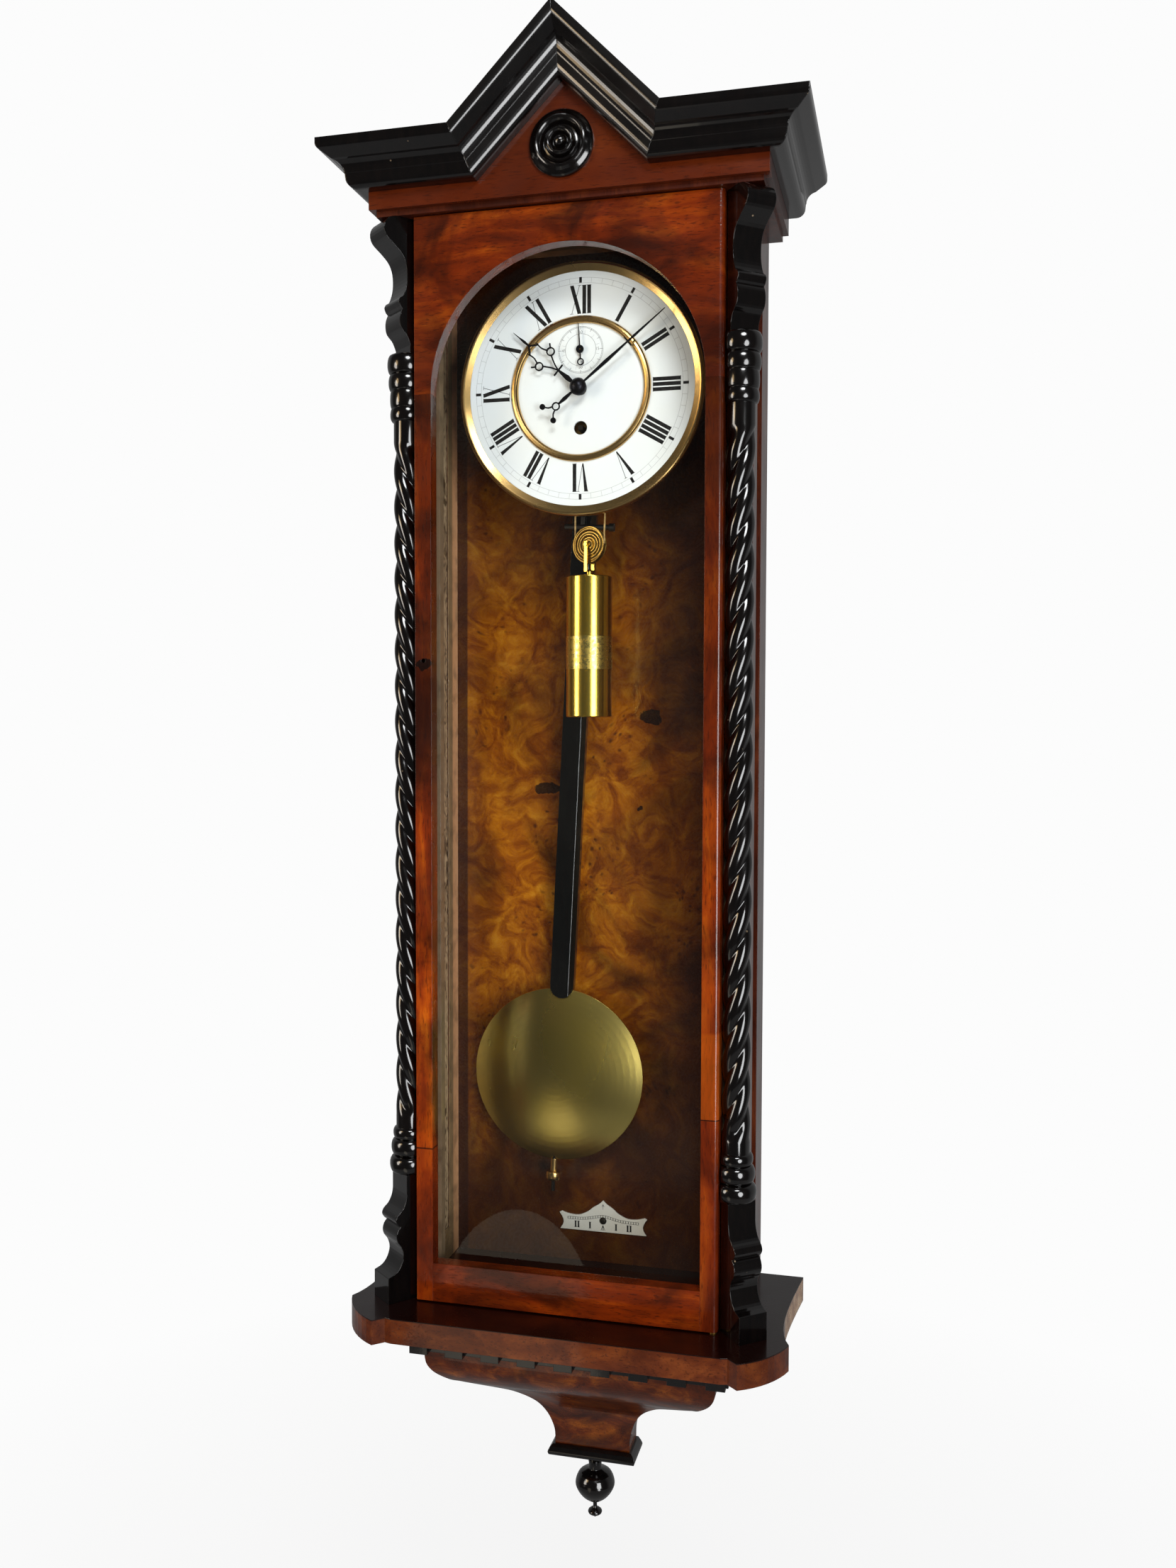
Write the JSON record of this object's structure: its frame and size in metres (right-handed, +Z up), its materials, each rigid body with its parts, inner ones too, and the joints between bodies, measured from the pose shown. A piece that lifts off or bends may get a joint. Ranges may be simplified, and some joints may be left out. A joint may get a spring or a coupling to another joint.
{
  "type": "vienna regulator clock",
  "caption": "Glazed wall regulator clock with gabled hood, twist columns on canted corners, enamel dial, brass weight on a pulley and a wooden-rod pendulum with brass bob.",
  "frame": {"origin": "centre of the wall hanger's hole, on the wall plane", "axes": "+Z up, +Y into the wall, so the dial faces -Y, +X to the right as seen from the front"},
  "size_m": [0.3456, 0.1555, 1.1249],
  "materials": {
    "walnut_veneer": "french polished walnut veneer",
    "burl_veneer": "polished burl veneer",
    "ebonised_wood": "gloss black",
    "clear_glass": "clear",
    "white_enamel": "fired gloss enamel",
    "polished_brass": "polished",
    "black_iron": "japanned",
    "dark_steel": "dull",
    "blued_steel": "blued to near black",
    "gut_cord": "waxed"
  },
  "bodies": {
    "case": {"backboard": "burl_veneer", "side_left": "walnut_veneer", "side_right": "walnut_veneer", "side_glass": "clear_glass", "corner_post_left": "walnut_veneer", "corner_post_right": "walnut_veneer", "roof_board": "walnut_veneer", "plinth": "walnut_veneer", "dentil_strip": "ebonised_wood", "base_apron": "walnut_veneer", "base_neck": "walnut_veneer", "drop_block": "ebonised_wood", "drop_finial": "ebonised_wood", "frieze": "walnut_veneer", "frieze_sides": "walnut_veneer", "cornice_left": "ebonised_wood", "cornice_right": "ebonised_wood", "gable_rake_left": "ebonised_wood", "gable_rake_right": "ebonised_wood", "cornice_returns": "ebonised_wood", "gable_roundel": "ebonised_wood", "upper_corbel_left": "ebonised_wood", "upper_corbel_right": "ebonised_wood", "lower_corbel_left": "ebonised_wood", "lower_corbel_right": "ebonised_wood", "column_left": "ebonised_wood", "column_right": "ebonised_wood", "beat_scale": "white_enamel", "wall_hanger": "polished_brass", "movement_bracket": "black_iron", "front_plate": "polished_brass", "back_plate": "polished_brass", "dial_frame": "polished_brass", "chapter_ring": "white_enamel", "dial_centre": "white_enamel", "door_hinges": "polished_brass", "line_lead": "gut_cord", "gut_line": "gut_cord"},
    "door": {"door_stile_left": "walnut_veneer", "door_stile_right": "walnut_veneer", "door_top_rail": "walnut_veneer", "door_bottom_rail": "walnut_veneer", "door_glass": "clear_glass", "door_lock": "dark_steel"},
    "pendulum": {"pendulum_rod": "ebonised_wood", "pendulum_bob": "polished_brass", "rating_nut": "polished_brass"},
    "anchor": {"pallet_anchor": "dark_steel"},
    "barrel": {"barrel": "polished_brass"},
    "great": {"great_wheel": "polished_brass"},
    "centre": {"centre_wheel": "polished_brass", "minute_hand": "blued_steel"},
    "third": {"third_wheel": "polished_brass"},
    "escape": {"escape_wheel": "polished_brass", "seconds_hand": "blued_steel"},
    "motion": {"motion_wheel": "polished_brass"},
    "hour": {"hour_wheel": "polished_brass", "hour_hand": "blued_steel"},
    "weight": {"weight": "polished_brass"},
    "pulley": {"weight_pulley": "polished_brass"}
  },
  "joints": [
    {"name": "door_swing", "type": "hinge", "parent": "case", "child": "door", "pos_m": [0.1094, -0.1118, -0.42925], "axis": [0, 0, 1], "range_deg": [0, 110]},
    {"name": "pendulum_swing", "type": "hinge", "parent": "case", "child": "pendulum", "pos_m": [0, -0.0285, -0.098], "axis": [0, 1, 0], "range_deg": [-5.75, 0.25]},
    {"name": "anchor_rock", "type": "hinge", "parent": "case", "child": "anchor", "pos_m": [0, -0.05, -0.098], "axis": [0, 1, 0], "range_deg": [-5.75, 0.25]},
    {"name": "weight_drop", "type": "slide", "parent": "case", "child": "weight", "axis": [0, 0, -1], "range_m": [0, 0.43], "deforming": ["gut_line"]},
    {"name": "barrel_turn", "type": "hinge", "parent": "case", "child": "barrel", "pos_m": [0, -0.05, -0.17829], "axis": [0, 1, 0], "range_deg": [0, 2900]},
    {"name": "pulley_turn", "type": "hinge", "parent": "weight", "child": "pulley", "pos_m": [0.0045, -0.06, -0.263], "axis": [0.342, 0.9397, 0], "range_deg": [0, 1911]},
    {"name": "escape_turn", "type": "hinge", "parent": "case", "child": "escape", "pos_m": [0, -0.05, -0.1215], "axis": [0, 1, 0], "continuous": true},
    {"name": "third_turn", "type": "hinge", "parent": "case", "child": "third", "pos_m": [0.01493, -0.05, -0.13439], "axis": [0, 1, 0], "continuous": true},
    {"name": "centre_turn", "type": "hinge", "parent": "case", "child": "centre", "pos_m": [0, -0.05, -0.15], "axis": [0, 1, 0], "continuous": true},
    {"name": "great_turn", "type": "hinge", "parent": "case", "child": "great", "pos_m": [0, -0.05, -0.17829], "axis": [0, 1, 0], "continuous": true},
    {"name": "motion_turn", "type": "hinge", "parent": "case", "child": "motion", "pos_m": [-0.00778, -0.065, -0.15778], "axis": [0, 1, 0], "continuous": true},
    {"name": "hour_turn", "type": "hinge", "parent": "case", "child": "hour", "pos_m": [0, -0.07, -0.15], "axis": [0, 1, 0], "continuous": true}
  ],
  "couplings": [
    {"joint": "anchor_rock", "follows": "pendulum_swing", "ratio": 1},
    {"joint": "barrel_turn", "follows": "weight_drop", "rad_per_m": 117.65},
    {"joint": "pulley_turn", "follows": "weight_drop", "rad_per_m": 77.519},
    {"joint": "third_turn", "follows": "escape_turn", "ratio": -0.13333},
    {"joint": "centre_turn", "follows": "escape_turn", "ratio": 0.016667},
    {"joint": "great_turn", "follows": "escape_turn", "ratio": -0.0013889},
    {"joint": "motion_turn", "follows": "escape_turn", "ratio": -0.0055556},
    {"joint": "hour_turn", "follows": "escape_turn", "ratio": 0.0013889}
  ]
}
